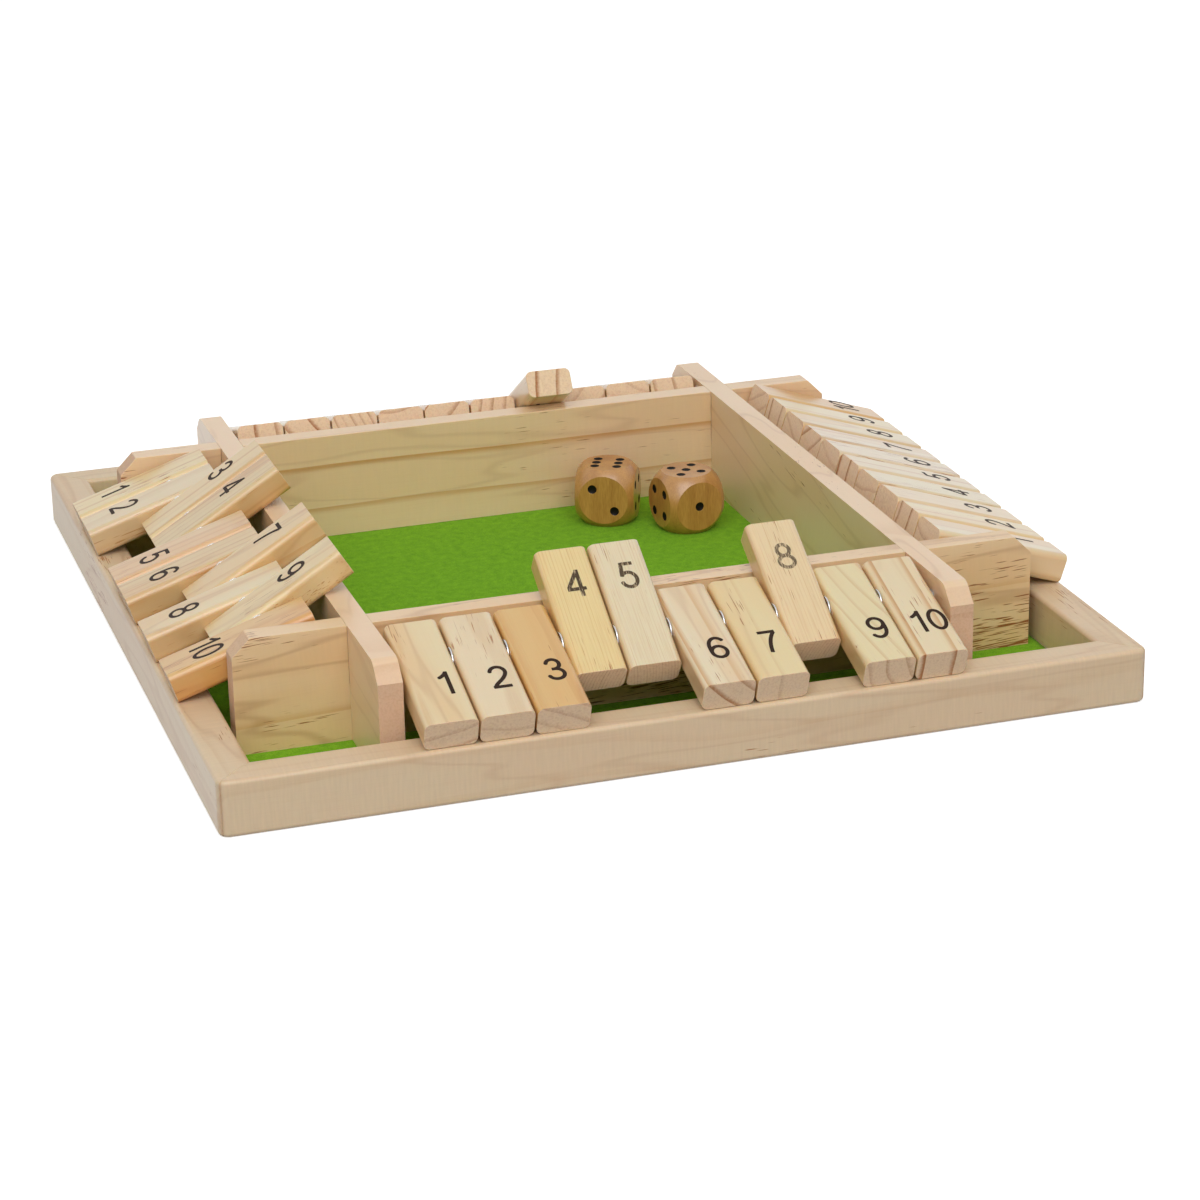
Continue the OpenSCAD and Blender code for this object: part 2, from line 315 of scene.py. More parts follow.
def tumbled_beech(name, dice):
    """Beech turned to dice, tumbled and waxed: warm brown with fine short flecks and a soft shine.

    The pips are drilled hollows. Paint fills all that lies a hair below both the flats and the ball.
    """
    material, tree, shader = new_material(name)
    place = in_board(tree)
    broad = grain_noise(tree, place, 5, 40)
    fleck = grain_noise(tree, place, 0.28, 3.2)
    tone = add(tree, MATH, {0: fleck, 1: 0.8, 2: broad}, operation="MULTIPLY_ADD")
    tone = add(tree, MAP_RANGE, {"Value": tone, "From Min": 0.55, "From Max": 1.25})
    wood = add(tree, MIX, {0: tone, "A": dice.pale, "B": dice.dark}, **RGBA)

    size = add(tree, VECTOR_MATH, {0: place}, operation="ABSOLUTE")
    x, y, z = add(tree, "ShaderNodeSeparateXYZ", {0: size}).outputs
    flat = add(tree, MATH, {0: x, 1: y}, operation="MAXIMUM")
    flat = add(tree, MATH, {0: flat, 1: z}, operation="MAXIMUM")
    low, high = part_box("die_left")
    half_mm = (high.z - low.z) / 2 / MM
    below_flat = add(tree, MATH, {0: flat, 1: half_mm - 0.02}, operation="LESS_THAN")
    from_middle = add(tree, VECTOR_MATH, {0: place}, operation="LENGTH")
    ball_mm = dice.ball_radius / MM
    below_ball = add(tree, MATH, {0: from_middle, 1: ball_mm - 0.06}, operation="LESS_THAN")
    painted = add(tree, MATH, {0: below_flat, 1: below_ball}, operation="MULTIPLY")
    colour = add(tree, MIX, {0: painted, "A": wood, "B": dice.paint}, **RGBA)
    shine = add(tree, MAP_RANGE, {"Value": painted, "To Min": 0.5, "To Max": 0.1})
    wax = add(tree, MAP_RANGE, {"Value": painted, "To Min": dice.wax, "To Max": 0.0})
    bump = add(tree, "ShaderNodeBump", {"Strength": 0.3, "Distance": 0.04 * MM, "Height": fleck})
    add(tree, shader, {
        "Base Color": colour,
        "Roughness": 0.4,
        "Specular IOR Level": shine,
        "Coat Weight": wax,
        "Coat Roughness": 0.25,
        "Normal": bump,
    })
    return material


def pressed_felt(name, felt):
    """Wool-mix felt, pressed: matt green, mottled where the fibres lie in clumps, with a faint bloom.

    Its fibres are about 0.02 mm thick. They are drawn as tufts of about 0.5 mm so that they show.
    """
    material, tree, shader = new_material(name)
    place = add(tree, "ShaderNodeTexCoord").outputs["Object"]
    place = add(tree, VECTOR_MATH, {0: place, "Scale": 1 / MM}, operation="SCALE")
    clump = add(tree, NOISE, {"Vector": place, "Scale": 0.35, "Detail": 3.0})
    tuft = add(
        tree, NOISE, {"Vector": place, "Scale": 2.2, "Detail": 3.0, "Roughness": 0.7, "Distortion": 1.0}
    )
    tone = add(tree, MATH, {0: tuft, 1: 2.2, 2: clump}, operation="MULTIPLY_ADD")
    tone = add(tree, MAP_RANGE, {"Value": tone, "From Min": 1.05, "From Max": 2.15})
    colour = add(tree, MIX, {0: tone, "A": felt.dark, "B": felt.pale}, **RGBA)
    bump = add(tree, "ShaderNodeBump", {"Strength": 0.8, "Distance": 0.25 * MM, "Height": tuft})
    add(tree, shader, {
        "Base Color": colour,
        "Roughness": 0.95,
        "Specular IOR Level": 0.1,
        "Sheen Weight": 0.04,
        "Sheen Roughness": 0.5,
        "Normal": bump,
    })
    return material


def zinc_plate(name, metal):
    """Pressed steel washers, bright zinc plated: mirror-like, with a faint cloudiness."""
    material, tree, shader = new_material(name)
    place = add(tree, "ShaderNodeTexCoord").outputs["Object"]
    cloud = add(tree, NOISE, {"Vector": place, "Scale": 0.7 / MM, "Detail": 2.0})
    rough = add(tree, MAP_RANGE, {"Value": cloud, "To Min": 0.14, "To Max": 0.34})
    colour = add(tree, MIX, {0: cloud, "A": metal.zinc, "B": metal.zinc_dull}, **RGBA)
    add(tree, shader, {"Base Color": colour, "Metallic": 1.0, "Roughness": rough})
    return material


def drawn_steel(name, metal):
    """Bright drawn steel rod: fine lines along its length that blur what it reflects.

    Real lines are about 0.01 mm wide, and these are drawn coarser so that they show.
    """
    material, tree, shader = new_material(name)
    lines = grain_noise(tree, in_board(tree), 0.15, 30)
    rough = add(tree, MAP_RANGE, {"Value": lines, "To Min": 0.22, "To Max": 0.42})
    colour = add(tree, MIX, {0: lines, "A": metal.steel, "B": metal.steel_dark}, **RGBA)
    add(tree, shader, {"Base Color": colour, "Metallic": 1.0, "Roughness": rough})
    return material


def printed_ink(name, settings):
    """Black ink stamped on lacquered wood. Where it is worn, it greys and breaks up along the grain."""
    material, tree, shader = new_material(name)
    grain = grain_noise(tree, in_board(tree), 0.2, 3.2)
    wear = add(tree, "ShaderNodeAttribute", attribute_type="OBJECT", attribute_name="wear").outputs["Fac"]
    limit = add(tree, MAP_RANGE, {"Value": wear, "To Min": 0.84, "To Max": 0.55}, clamp=False)
    above = add(tree, MATH, {0: grain, 1: limit}, operation="SUBTRACT")
    bare = add(tree, MAP_RANGE, {"Value": above, "From Min": -0.02, "From Max": 0.05})
    faded = add(tree, MATH, {0: wear, 1: 4.0}, operation="POWER")
    faded = add(tree, MATH, {0: faded, 1: 0.2}, operation="MULTIPLY")
    bare = add(tree, MATH, {0: bare, 1: faded}, operation="MAXIMUM")
    colour = add(tree, MIX, {0: bare, "A": settings.ink, "B": settings.bare}, **RGBA)
    add(tree, shader, {
        "Base Color": colour,
        "Roughness": 0.6,
        "Specular IOR Level": 0.1,
        "Coat Weight": 0.12,
        "Coat Roughness": 0.3,
    })
    return material


def seen_or_mirrored(tree):
    """1 for what the camera sees or a shiny surface mirrors, and 0 for the light that falls on things."""
    seen = add(tree, "ShaderNodeLightPath")
    return add(
        tree,
        MATH,
        {0: seen.outputs["Is Camera Ray"], 1: seen.outputs["Is Glossy Ray"]},
        operation="MAXIMUM",
    )


def white_floor(name, stage):
    """Matt paper sweep: it shows as plain white with a faint shadow, and throws back less light."""
    material, tree, shader = new_material(name)
    add(tree, shader, {"Base Color": stage.floor, "Roughness": 0.9, "Specular IOR Level": 0.1})
    glow = add(tree, "ShaderNodeEmission", {"Color": (1, 1, 1), "Strength": stage.floor_glow})
    lifted = add(tree, "ShaderNodeAddShader", {0: shader, 1: glow})
    unseen = add(tree, "ShaderNodeBsdfDiffuse", {"Color": stage.floor_bounce})
    mixed = add(tree, "ShaderNodeMixShader", {0: seen_or_mirrored(tree), 1: unseen, 2: lifted})
    add(tree, tree.nodes["Material Output"], {"Surface": mixed})
    return material


# ---- Boards: where in a tree each piece of wood was cut ----

# What a board looks like. The slope is the direction of the tree's middle from the board, in degrees:
# 90 is out of the broad face, which gives arches, and 0 is to its side, which gives straight lines.
# The skew is the angle of the grain to the board's length, in degrees. Then come the ring gap in mm,
# the depth of the late wood, the wander of the rings in mm, the strengths of the warm patches, the
# resin marks and the fibres, and the tint of the whole board.
Board = namedtuple("Board", "slope skew gap depth wander warm resin fibres tint")
BOARDS = {
    "cream": Board(75, 1, 7.0, 0.40, 8, 0.45, 0.8, 0.35, (1.0, 1.03, 1.08)),
    "dashed": Board(80, -2, 8.0, 0.30, 8, 0.10, 1.7, 0.30, (1.01, 1.05, 1.17)),
    "honey": Board(65, 2, 6.0, 0.40, 8, 0.50, 1.0, 0.40, (0.94, 0.74, 0.47)),
    "fine yellow": Board(8, 0, 1.1, 0.45, 2, 0.10, 0.8, 1.40, (1.04, 1.01, 0.82)),
    "fine pale": Board(12, 0, 1.0, 0.35, 2, 0.05, 0.0, 1.50, (1.01, 1.06, 1.23)),
    "fine pink": Board(12, 0, 1.0, 0.35, 2, 0.05, 0.0, 1.40, (1.03, 1.02, 1.02)),
    "pink": Board(45, 3, 8.0, 0.80, 5, 0.30, 0.8, 0.60, (1.03, 1.09, 1.28)),
    "yellow": Board(5, 1, 8.5, 0.80, 6, 0.20, 0.2, 0.30, (1.02, 1.01, 0.93)),
    "figured": Board(35, 11, 7.0, 0.60, 14, 0.35, 0.6, 0.40, (1.01, 1.06, 1.04)),
    "striped": Board(4, 0, 8.5, 1.10, 4, 0.15, 0.2, 0.30, (1.0, 1.05, 1.12)),
    "streaky": Board(20, 2, 3.2, 0.70, 5, 0.45, 0.9, 0.70, (0.93, 0.86, 0.76)),
    "rosy": Board(25, 0, 4.0, 0.70, 5, 0.50, 0.9, 0.60, (0.98, 0.91, 0.88)),
    "rail": Board(60, 0, 6.0, 0.35, 10, 0.30, 0.45, 0.50, (1.0, 1.0, 1.0)),
    "banded wall": Board(0, 0, 16.0, 0.85, 4, 0.20, 0.8, 0.40, (1.01, 1.01, 1.06)),
    "slanting wall": Board(0, 9, 60.0, 0.50, 5, 0.30, 0.3, 0.20, (1.04, 1.05, 1.13)),
    "flecked wall": Board(0, -3, 44.0, 1.20, 10, 0.45, 1.15, 0.35, (1.0, 0.99, 0.95)),
}
TILE_BOARDS = {
    "front": "cream, dashed, honey, fine yellow, fine pale, pink, yellow, fine pink, figured, striped",
    "right": "cream, yellow, fine pink, cream, striped, dashed, pink, cream, yellow, honey",
    "back": "yellow, cream, pink, striped, rosy, pink, cream, streaky, pink, striped",
    "left": "yellow, cream, yellow, streaky, rosy, streaky, figured, cream, figured, honey",
}
# A wall's board, and the tree's middle from the wall's own: across, along and out of it, in mm.
WALL_BOARDS = {
    "front": ("flecked wall", (89, 0, 8)),
    "right": ("slanting wall", (90, 0, 8)),
    "back": ("banded wall", (-101, 300, 9)),
    "left": ("slanting wall", (84, 500, 8)),
}


def give_board(piece, axes, at, kind, pith_mm=None):
    """Keeps on a piece which way its grain runs (axes[1]) and which board it was cut from.

    The tree's middle, or pith, is 45 to 80 mm away unless pith_mm says where it lies. Plywood, beech,
    steel and ink read only which way the grain runs. A die's kind has no skew, because its paint is
    placed by the same axes.
    """
    chance = random.Random(piece.name)
    board = BOARDS[kind]
    if pith_mm is None:
        turn = math.radians(board.slope + chance.uniform(-6, 6))
        reach = chance.uniform(45, 80)
        pith_mm = (
            chance.choice((-1, 1)) * reach * math.cos(turn),
            chance.uniform(-900, 900),
            reach * math.sin(turn),
        )
    lean = Matrix.Rotation(math.radians(board.skew), 3, axes[2])
    across, along, out = (lean @ axis for axis in axes)
    piece["grain_at"] = list(at)
    piece["grain_turn"] = list(Matrix((across, along, out)).transposed().to_euler("XYZ"))
    piece["grain_axis"] = list(along)
    piece["broad_axis"] = list(out)
    piece["pith"] = list(pith_mm)
    piece["rings"] = [
        board.gap * chance.uniform(0.85, 1.2) if board.slope else board.gap,
        board.depth * chance.uniform(0.8, 1.2),
        board.wander,
    ]
    piece["marks"] = [board.warm * chance.uniform(0.7, 1.25), board.resin, board.fibres]
    piece["tint"] = [part * chance.uniform(0.985, 1.015) for part in board.tint]


def box_place(node):
    """A straight piece's own axes at rest (across it, along it, out of its broad face) and middle."""
    low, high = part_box(node)
    size = high - low
    thin, _, long = sorted(range(3), key=lambda i: size[i])
    along, out = (Vector([i == way for i in range(3)]) for way in (long, thin))
    return [along.cross(out), along, out], (low + high) / 2


def tile_axes(node):
    """A tile's own axes at rest, from its mesh and its joint.

    They point along the rod to the player's right, towards the short end, and out of the face that
    shows while the tile is in play.
    """
    joint = FLIPS[node]
    right = -Vector(joint["axis"])
    mesh = NODES[node].data
    broad = max(mesh.polygons, key=lambda p: p.area).normal.copy()
    long_way = broad.cross(right).normalized()
    pivot = Vector(joint["pos_m"])
    reach = [(v.co - pivot).dot(long_way) for v in mesh.vertices]
    if max(reach) < -min(reach):
        long_way = -long_way
    return [right, -long_way, right.cross(-long_way)]


DIE_TURNS = {"die_left": math.radians(-27), "die_right": math.radians(7)}


def die_axes(node):
    """A die's own axes at rest, turned as it lies on the felt."""
    turn = DIE_TURNS[node]
    across = Vector((math.cos(turn), math.sin(turn), 0))
    up = Vector((0, 0, 1))
    return [across, up, across.cross(up)]


# ---- Edges ----


def smooth_shading():
    """A geometry node group that shades every face smooth."""
    name = "smooth shading"
    if name in bpy.data.node_groups:
        return bpy.data.node_groups[name]
    tree = bpy.data.node_groups.new(name, "GeometryNodeTree")
    for way in ("INPUT", "OUTPUT"):
        tree.interface.new_socket("Geometry", in_out=way, socket_type="NodeSocketGeometry")
    came = add(tree, "NodeGroupInput")
    smooth = add(tree, "GeometryNodeSetShadeSmooth", {"Geometry": came})
    add(tree, "NodeGroupOutput", {"Geometry": smooth})
    return tree


def soften(piece, width):
    """Breaks a piece's sharp edges as sanding does, with modifiers that leave its own mesh alone."""
    weld = piece.modifiers.new("weld", "WELD")
    weld.merge_threshold = 0.002 * MM
    flats = piece.modifiers.new("flats", "DECIMATE")
    flats.decimate_type = "DISSOLVE"
    flats.angle_limit = math.radians(0.5)
    bevel = piece.modifiers.new("broken edges", "BEVEL")
    bevel.width = width
    bevel.segments = 3
    bevel.limit_method = "ANGLE"
    bevel.angle_limit = math.radians(35)
    bevel.loop_slide = False
    shading = piece.modifiers.new("shading", "NODES")
    shading.node_group = smooth_shading()
    normals = piece.modifiers.new("normals", "WEIGHTED_NORMAL")
    normals.keep_sharp = False


def dress(piece, material):
    """Gives a piece its one material."""
    piece.data.materials.clear()
    piece.data.materials.append(material)


def new_piece(name, mesh, body):
    """A new piece of the object that rides on a CAD body."""
    piece = bpy.data.objects.new(name, mesh)
    bpy.context.scene.collection.objects.link(piece)
    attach(piece, body)
    return piece


# ---- Numbers ----


def arc(x, y, rx, ry, start, end):
    """Points of an elliptic arc, with its angles in degrees."""
    angles = np.radians(np.linspace(start, end, max(4, int(abs(end - start) / 7) + 1)))
    return np.column_stack([x + rx * np.cos(angles), y + ry * np.sin(angles)])


def line(*points):
    return np.array(points, float)


def bend(start, pull, end):
    """Points of a curve from start to end that leans towards pull."""
    t = np.linspace(0, 1, 14)[:, None]
    start, pull, end = (np.array(p, float) for p in (start, pull, end))
    return (1 - t) ** 2 * start + 2 * t * (1 - t) * pull + t**2 * end


# Middle lines of the strokes of each digit, in units of the digit's height, and its width.
STROKES = {
    "0": (0.62, [arc(0.31, 0.5, 0.235, 0.44, 0, 360)]),
    "1": (0.40, [line((0.29, 0), (0.29, 1)), bend((0.30, 0.97), (0.22, 0.83), (0.05, 0.745))]),
    "2": (0.62, [
        arc(0.305, 0.70, 0.225, 0.24, 172, -28),
        bend((0.504, 0.587), (0.44, 0.44), (0.27, 0.29)),
        bend((0.27, 0.29), (0.13, 0.17), (0.085, 0.06)),
        line((0.02, 0.058), (0.585, 0.058)),
    ]),
    "3": (0.62, [
        arc(0.295, 0.725, 0.195, 0.215, 168, -90),
        line((0.215, 0.51), (0.30, 0.51)),
        arc(0.30, 0.285, 0.235, 0.225, 90, -168),
    ]),
    "4": (0.64, [
        line((0.455, 0), (0.455, 1)),
        line((0.44, 0.93), (0.075, 0.33)),
        line((0.02, 0.285), (0.62, 0.285)),
    ]),
    "5": (0.62, [
        line((0.165, 0.94), (0.545, 0.94)),
        line((0.185, 0.995), (0.105, 0.47)),
        arc(0.295, 0.335, 0.24, 0.275, 143, -166),
    ]),
    "6": (0.62, [
        arc(0.315, 0.31, 0.23, 0.25, 0, 360),
        arc(0.345, 0.55, 0.26, 0.39, 38, 180),
        bend((0.085, 0.55), (0.075, 0.42), (0.085, 0.31)),
    ]),
    "7": (0.62, [line((0.04, 0.94), (0.58, 0.94)), bend((0.55, 0.915), (0.28, 0.58), (0.225, 0))]),
    "8": (0.62, [arc(0.31, 0.73, 0.195, 0.21, 0, 360), arc(0.31, 0.285, 0.235, 0.225, 0, 360)]),
}
# A 9 is a 6 turned half round.
SIX_WIDTH, SIX_PATHS = STROKES["6"]
STROKES["9"] = (SIX_WIDTH, [np.array((SIX_WIDTH, 1.0)) - path for path in SIX_PATHS])
CELLS_PER_DIGIT = 64


def stroke_distance(points, path, closed):
    """Distance from each point to a stroke's middle line. An open stroke is cut square at its ends."""
    nearest = np.full(len(points), np.inf)
    last = len(path) - 2
    for i, (a, b) in enumerate(zip(path[:-1], path[1:])):
        run = b - a
        length = math.hypot(*run)
        away = points - a
        along = away @ run / length
        side = np.abs(away[:, 0] * run[1] - away[:, 1] * run[0]) / length
        past = np.maximum(-along, along - length)
        gap = np.hypot(side, np.maximum(past, 0))
        if not closed:
            beyond = np.where(along < 0, i == 0, (along > length) & (i == last))
            gap = np.where(beyond & (past > 0), np.inf, gap)
        nearest = np.minimum(nearest, gap)
    return nearest


def digit_outline(bm, digit, height, stroke, offset):
    """Adds a digit's outline to bm in the XY plane, where the ink's edge crosses a fine grid."""
    width, paths = STROKES[digit]
    step = height / CELLS_PER_DIGIT
    pad = 3 * step
    xs = np.arange(-pad, width * height + pad, step)
    ys = np.arange(-pad, height + pad, step)
    grid = np.stack(np.meshgrid(xs, ys, indexing="ij"), axis=-1)
    flat = grid.reshape(-1, 2)
    ink = np.full(len(flat), np.inf)
    for path in paths:
        closed = np.allclose(path[0], path[-1], atol=1e-6)
        ink = np.minimum(ink, stroke_distance(flat, path * height, closed))
    # Far from every stroke the distance doesn't matter, but it has to be finite.
    ink = np.minimum(ink, 4 * stroke).reshape(grid.shape[:2]) - stroke / 2

    crossings = {}

    def crossing(i, j, across):
        """The vertex where the edge passes between a grid point and the next one."""
        key = (i, j, across)
        if key not in crossings:
            there = (i, j + 1) if across else (i + 1, j)
            share = ink[i, j] / (ink[i, j] - ink[there])
            spot = grid[i, j] + (grid[there] - grid[i, j]) * share
            crossings[key] = bm.verts.new((offset + spot[0], spot[1], 0))
        return crossings[key]

    # Each grid cell that the edge passes through gets a piece of it between two crossings.
    inside = ink < 0
    for i in range(len(xs) - 1):
        for j in range(len(ys) - 1):
            sides = [
                (inside[i, j] != inside[i + 1, j], (i, j, 0)),
                (inside[i + 1, j] != inside[i + 1, j + 1], (i + 1, j, 1)),
                (inside[i, j + 1] != inside[i + 1, j + 1], (i, j + 1, 0)),
                (inside[i, j] != inside[i, j + 1], (i, j, 1)),
            ]
            crossed = [crossing(*key) for cut, key in sides if cut]
            if len(crossed) == 4 and inside[i, j]:
                crossed = crossed[1:] + crossed[:1]
            for a, b in zip(crossed[::2], crossed[1::2]):
                bm.edges.new((a, b))


def number_mesh(number, settings):
    """A number's ink, lying on z = 0 with its middle at the origin."""
    bm = bmesh.new()
    digits = str(number)
    gap = settings.digit_gap
    widths = [STROKES[d][0] * settings.height for d in digits]
    left = -(sum(widths) + gap * (len(digits) - 1)) / 2
    for digit, width in zip(digits, widths):
        digit_outline(bm, digit, settings.height, settings.stroke, left)
        left += width + gap
    bmesh.ops.translate(bm, verts=bm.verts, vec=(0, -settings.height / 2, 0))
    bmesh.ops.dissolve_limit(bm, angle_limit=math.radians(2), verts=bm.verts, edges=bm.edges)
    bmesh.ops.triangle_fill(bm, use_beauty=True, edges=bm.edges, normal=(0, 0, 1))
    grown = bmesh.ops.extrude_face_region(bm, geom=bm.faces[:])
    top = [v for v in grown["geom"] if isinstance(v, bmesh.types.BMVert)]
    bmesh.ops.translate(bm, verts=top, vec=(0, 0, settings.thickness))
    sunk = settings.thickness / 3
    bmesh.ops.translate(bm, verts=bm.verts, vec=(0, 0, -sunk))
    bmesh.ops.recalc_face_normals(bm, faces=bm.faces)
    return bm


# ---- Settings ----


def colour_prop(name, description, hex_colour):
    return FloatVectorProperty(
        name=name, description=description, subtype="COLOR", default=linear(hex_colour)
    )


def length_prop(name, description, mm):
    return FloatProperty(name=name, description=description, unit="LENGTH", default=mm * MM)


def share_prop(name, description, share):
    return FloatProperty(name=name, description=description, subtype="FACTOR", default=share)


def angle_prop(name, description, degrees):
    return FloatProperty(
        name=name, description=description, subtype="ANGLE", default=math.radians(degrees)
    )


def place_prop(name, description, metres):
    return FloatVectorProperty(
        name=name, description=description, subtype="TRANSLATION", unit="LENGTH", default=metres
    )


def pine_settings(colours, roughness, late_width_mm, side_warmth, lacquer, chatter, softening_mm):
    """The settings of one kind of pine. Its colours come in the order that they are listed here."""
    early, late, warm, streak, end, end_late = colours.split()
    return {
        "early": colour_prop("Early wood", "Pale part of the rings", early),
        "late": colour_prop("Late wood", "Dark part of the rings", late),
        # The warm colour is also the painted warm light on the narrow sides.
        "warm": colour_prop("Warm patches", "Warmer patches on the faces", warm),
        "streak": colour_prop("Streaks", "Streaks and resin marks", streak),
        "end": colour_prop("End grain", "Cut ends between the rings", end),
        "end_late": colour_prop("End grain rings", "Rings and pores on cut ends", end_late),
        "roughness": share_prop("Roughness", "Roughness of the lacquered faces", roughness),
        "late_width": length_prop(
            "Late wood width", "Widest that the dark part of a ring gets", late_width_mm
        ),
        # Painted light: how strongly the narrow sides are painted warmer, for light bounced between the
        # tiles.
        "side_warmth": share_prop("Painted side glow", "How much warmer the narrow sides are", side_warmth),
        "lacquer": share_prop("Lacquer", "Thickness of the clear lacquer", lacquer),
        "glow": share_prop("Glow", "Share of the light that sinks into the wood", 0.25),
        "glow_depth": length_prop("Glow depth", "How far red light travels in the wood", 1.6),
        "chatter": share_prop("Cutter marks", "Strength of the marks across the grain", chatter),
        "softening": length_prop("Edge softening", "Width of the broken edges", softening_mm),
    }


class RailWood(bpy.types.PropertyGroup):
    __annotations__ = pine_settings(
        "#ddc5a2 #c79d6c #dcb894 #a9713f #d6b594 #b08a66",
        roughness=0.5, late_width_mm=2.0, side_warmth=0.0, lacquer=0.35, chatter=0.03, softening_mm=0.25,
    )


class WallWood(bpy.types.PropertyGroup):
    __annotations__ = pine_settings(
        "#e9cba0 #c48d4b #e2b884 #955629 #dcb898 #b07c58",
        roughness=0.5, late_width_mm=3.0, side_warmth=0.0, lacquer=0.8, chatter=0.012, softening_mm=0.35,
    )


class TileWood(bpy.types.PropertyGroup):
    __annotations__ = pine_settings(
        "#e4cea2 #c6955a #dea766 #ac7444 #f3d5b2 #b0764a",
        roughness=0.3, late_width_mm=2.2, side_warmth=0.35, lacquer=0.7, chatter=0.005, softening_mm=0.25,
    )


class NumberPrint(bpy.types.PropertyGroup):
    height: length_prop("Height", "Height of the digits", 10.6)
    stroke: length_prop("Stroke", "Width of the digits' strokes", 1.3)
    digit_gap: length_prop("Digit gap", "Gap between the digits of 10", 0.9)
    from_rod: length_prop("Distance from the rod", "From the rod to the middle of a number", 18)
    thickness: length_prop("Thickness", "Thickness of the ink", 0.06)
    ink: colour_prop("Ink", "Colour of the ink", "#2e1d12")
    bare: colour_prop("Bare wood", "Wood that shows where the ink is worn", "#d8c09a")


class FeltCloth(bpy.types.PropertyGroup):
    pale: colour_prop("Pale green", "Fibres that stand up", "#8bc626")
    dark: colour_prop("Dark green", "Gaps between the fibres", "#5a920f")
    cell: length_prop("Mesh cell", "Size of the felt's mesh cells", 1.6)
    nap: length_prop("Nap", "Height of the soft unevenness", 0.35)


class DiceFinish(bpy.types.PropertyGroup):
    pale: colour_prop("Pale wood", "Wood between the flecks", "#cb954c")
    dark: colour_prop("Dark wood", "Flecks along the grain", "#a0662c")
    paint: colour_prop("Pip paint", "Paint in the pips", "#17130f")
    wax: share_prop("Wax", "Thickness of the wax", 1.0)
    ball_radius: length_prop("Ball radius", "Radius of the ball that rounds off a die", 14.3)


class MetalFinish(bpy.types.PropertyGroup):
    zinc: colour_prop("Zinc", "Bright zinc plate", "#e2e3e6")
    zinc_dull: colour_prop("Dull zinc", "Clouded zinc plate", "#bfc1c6")
    steel: colour_prop("Steel", "Bright drawn steel", "#c4c5c8")
    steel_dark: colour_prop("Steel lines", "Lines left by drawing", "#97999d")
    softening: length_prop("Edge softening", "Width of the broken edges", 0.12)


class BaseVeneer(bpy.types.PropertyGroup):
    pale: colour_prop("Pale veneer", "Early wood of the veneer", "#dcc09a")
    dark: colour_prop("Dark veneer", "Late wood of the veneer", "#b98f60")


class Stage(bpy.types.PropertyGroup):
    azimuth: angle_prop("Azimuth", "Turn of the camera round the game", -17.602)
    elevation: angle_prop("Elevation", "Camera's height above the horizon", 20.895)
    roll: angle_prop("Roll", "Camera's tilt", -1.116)
    place: place_prop("Camera place", "Where the camera stands", (-0.31806, -1.05268, 0.42093))
    lens: FloatProperty(name="Lens", description="Focal length on a 36 mm sensor", default=100.93)
    floor: colour_prop("Floor", "Colour of the floor", "#f4f4f4")
    floor_glow: FloatProperty(
        name="Floor glow", description="Light that only the camera and reflections see", default=0.55)
    floor_bounce: colour_prop("Floor bounce", "Colour of the light thrown back by the floor", "#8c8c8c")
    sky: FloatProperty(name="Sky", description="Light from all round", default=0.43)
    softbox: FloatProperty(
        name="Softbox", description="Power of the large lamp overhead", default=29.0, unit="POWER")
    softbox_place: place_prop("Softbox place", "Where the lamp hangs", (-0.42, -1.48, 1.57))
    softbox_size: FloatVectorProperty(
        name="Softbox size", description="The lamp's width and height", size=2, unit="LENGTH",
        default=(2.0, 1.6))


SETTINGS = {
    "shut_box_rails": RailWood,
    "shut_box_walls": WallWood,
    "shut_box_tiles": TileWood,
    "shut_box_numbers": NumberPrint,
    "shut_box_felt": FeltCloth,
    "shut_box_dice": DiceFinish,
    "shut_box_metal": MetalFinish,
    "shut_box_base": BaseVeneer,
    "shut_box_stage": Stage,
}


# ---- Operators ----


class FinishRails(bpy.types.Operator):
    """Give the four mitred rails their pine and softened edges"""

    bl_idname = "shut_box.finish_rails"
    bl_label = "Finish the rails"

    def execute(self, context):
        wood = context.scene.shut_box_rails
        material = pine("rail pine, planed and sanded", wood)
        for side in SIDES:
            rail = NODES["rail_" + side]
            give_board(rail, *box_place(rail.name), "rail")
            soften(rail, wood.softening)
            dress(rail, material)
        return {"FINISHED"}


class FinishBase(bpy.types.Operator):
    """Give the base panel its plywood face"""

    bl_idname = "shut_box.finish_base"
    bl_label = "Finish the base"

    def execute(self, context):
        base = NODES["base_panel"]
        give_board(base, *box_place(base.name), "cream")
        dress(base, rotary_plywood("plywood, rotary cut", context.scene.shut_box_base))
        return {"FINISHED"}


